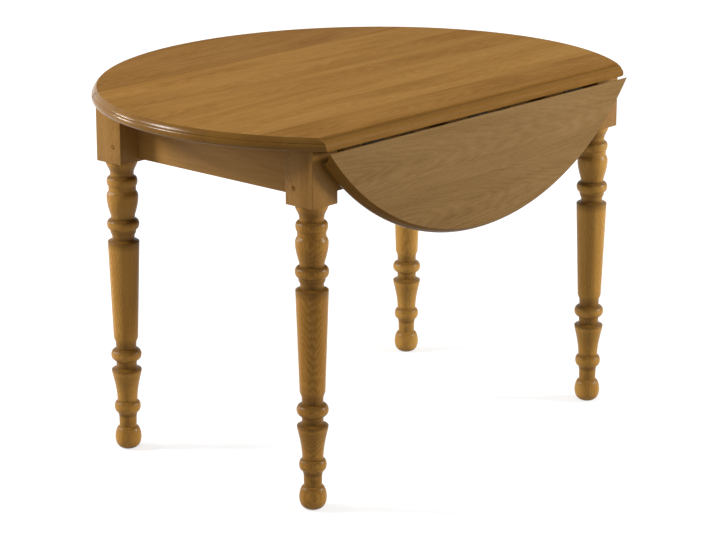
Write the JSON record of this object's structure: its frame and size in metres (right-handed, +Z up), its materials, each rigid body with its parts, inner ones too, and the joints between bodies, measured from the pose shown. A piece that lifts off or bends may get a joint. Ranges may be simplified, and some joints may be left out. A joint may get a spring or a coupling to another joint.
{
  "type": "drop leaf table",
  "caption": "Oak drop leaf table with a near-round moulded top, hinged leaves on rule joints held by swinging stays, pegged aprons and turned legs under square blocks",
  "frame": {"origin": "on the floor, in the middle of the space that the table takes up with its front leaf hanging and its rear leaf raised", "axes": "+X along the hinge lines, +Y from the hanging leaf to the raised leaf, +Z up"},
  "size_m": [1.15, 0.866, 0.75],
  "materials": {
    "oak_top": "honey oak, glossy lacquer, grain along the hinge lines",
    "oak_leg": "honey oak, turned, satin lacquer",
    "oak_apron": "honey oak, satin lacquer",
    "oak_peg": "darker end grain, satin lacquer",
    "bronzed_steel": "bronzed steel, satin"
  },
  "bodies": {
    "frame": {"centre_top": "oak_top", "leg_front_left": "oak_leg", "leg_front_right": "oak_leg", "leg_rear_left": "oak_leg", "leg_rear_right": "oak_leg", "apron_front": "oak_apron", "apron_rear": "oak_apron", "apron_left": "oak_apron", "apron_right": "oak_apron", "corner_brace_front_left": "oak_apron", "corner_brace_front_right": "oak_apron", "corner_brace_rear_left": "oak_apron", "corner_brace_rear_right": "oak_apron", "peg_front_left_long": "oak_peg", "peg_front_left_short": "oak_peg", "peg_front_right_long": "oak_peg", "peg_front_right_short": "oak_peg", "peg_rear_left_long": "oak_peg", "peg_rear_left_short": "oak_peg", "peg_rear_right_long": "oak_peg", "peg_rear_right_short": "oak_peg", "hinge_plate_front_left": "bronzed_steel", "hinge_plate_front_middle": "bronzed_steel", "hinge_plate_front_right": "bronzed_steel", "hinge_plate_rear_left": "bronzed_steel", "hinge_plate_rear_middle": "bronzed_steel", "hinge_plate_rear_right": "bronzed_steel", "hinge_pin_front_left": "bronzed_steel", "hinge_pin_front_middle": "bronzed_steel", "hinge_pin_front_right": "bronzed_steel", "hinge_pin_rear_left": "bronzed_steel", "hinge_pin_rear_middle": "bronzed_steel", "hinge_pin_rear_right": "bronzed_steel", "stay_bracket_front_left": "bronzed_steel", "stay_bracket_front_right": "bronzed_steel", "stay_bracket_rear_left": "bronzed_steel", "stay_bracket_rear_right": "bronzed_steel", "stay_pin_front_left": "bronzed_steel", "stay_pin_front_right": "bronzed_steel", "stay_pin_rear_left": "bronzed_steel", "stay_pin_rear_right": "bronzed_steel"},
    "front_leaf": {"leaf_front": "oak_top", "hinge_flap_front_left": "bronzed_steel", "hinge_flap_front_middle": "bronzed_steel", "hinge_flap_front_right": "bronzed_steel", "stay_track_front_left": "bronzed_steel", "stay_track_front_right": "bronzed_steel"},
    "rear_leaf": {"leaf_rear": "oak_top", "hinge_flap_rear_left": "bronzed_steel", "hinge_flap_rear_middle": "bronzed_steel", "hinge_flap_rear_right": "bronzed_steel", "stay_track_rear_left": "bronzed_steel", "stay_track_rear_right": "bronzed_steel"},
    "front_left_strut": {"stay_strut_front_left": "bronzed_steel"},
    "front_right_strut": {"stay_strut_front_right": "bronzed_steel"},
    "rear_left_strut": {"stay_strut_rear_left": "bronzed_steel"},
    "rear_right_strut": {"stay_strut_rear_right": "bronzed_steel"}
  },
  "joints": [
    {"name": "front_leaf_hinge", "type": "hinge", "parent": "frame", "child": "front_leaf", "pos_m": [0, -0.406, 0.723], "axis": [-1, 0, 0], "range_deg": [0, 90]},
    {"name": "rear_leaf_hinge", "type": "hinge", "parent": "frame", "child": "rear_leaf", "pos_m": [0, 0.198, 0.723], "axis": [-1, 0, 0], "range_deg": [0, 90]},
    {"name": "front_left_stay", "type": "hinge", "parent": "frame", "child": "front_left_strut", "pos_m": [-0.15, -0.38, 0.671], "axis": [-1, 0, 0], "range_deg": [0, 101.45]},
    {"name": "front_right_stay", "type": "hinge", "parent": "frame", "child": "front_right_strut", "pos_m": [0.15, -0.38, 0.671], "axis": [-1, 0, 0], "range_deg": [0, 101.45]},
    {"name": "rear_left_stay", "type": "hinge", "parent": "frame", "child": "rear_left_strut", "pos_m": [-0.15, 0.172, 0.671], "axis": [-1, 0, 0], "range_deg": [0, 101.45]},
    {"name": "rear_right_stay", "type": "hinge", "parent": "frame", "child": "rear_right_strut", "pos_m": [0.15, 0.172, 0.671], "axis": [-1, 0, 0], "range_deg": [0, 101.45]}
  ],
  "couplings": [
    {"joint": "front_left_stay", "follows": "front_leaf_hinge", "ratio": 1.1272},
    {"joint": "front_right_stay", "follows": "front_leaf_hinge", "ratio": 1.1272},
    {"joint": "rear_left_stay", "follows": "rear_leaf_hinge", "ratio": 1.1272},
    {"joint": "rear_right_stay", "follows": "rear_leaf_hinge", "ratio": 1.1272}
  ]
}
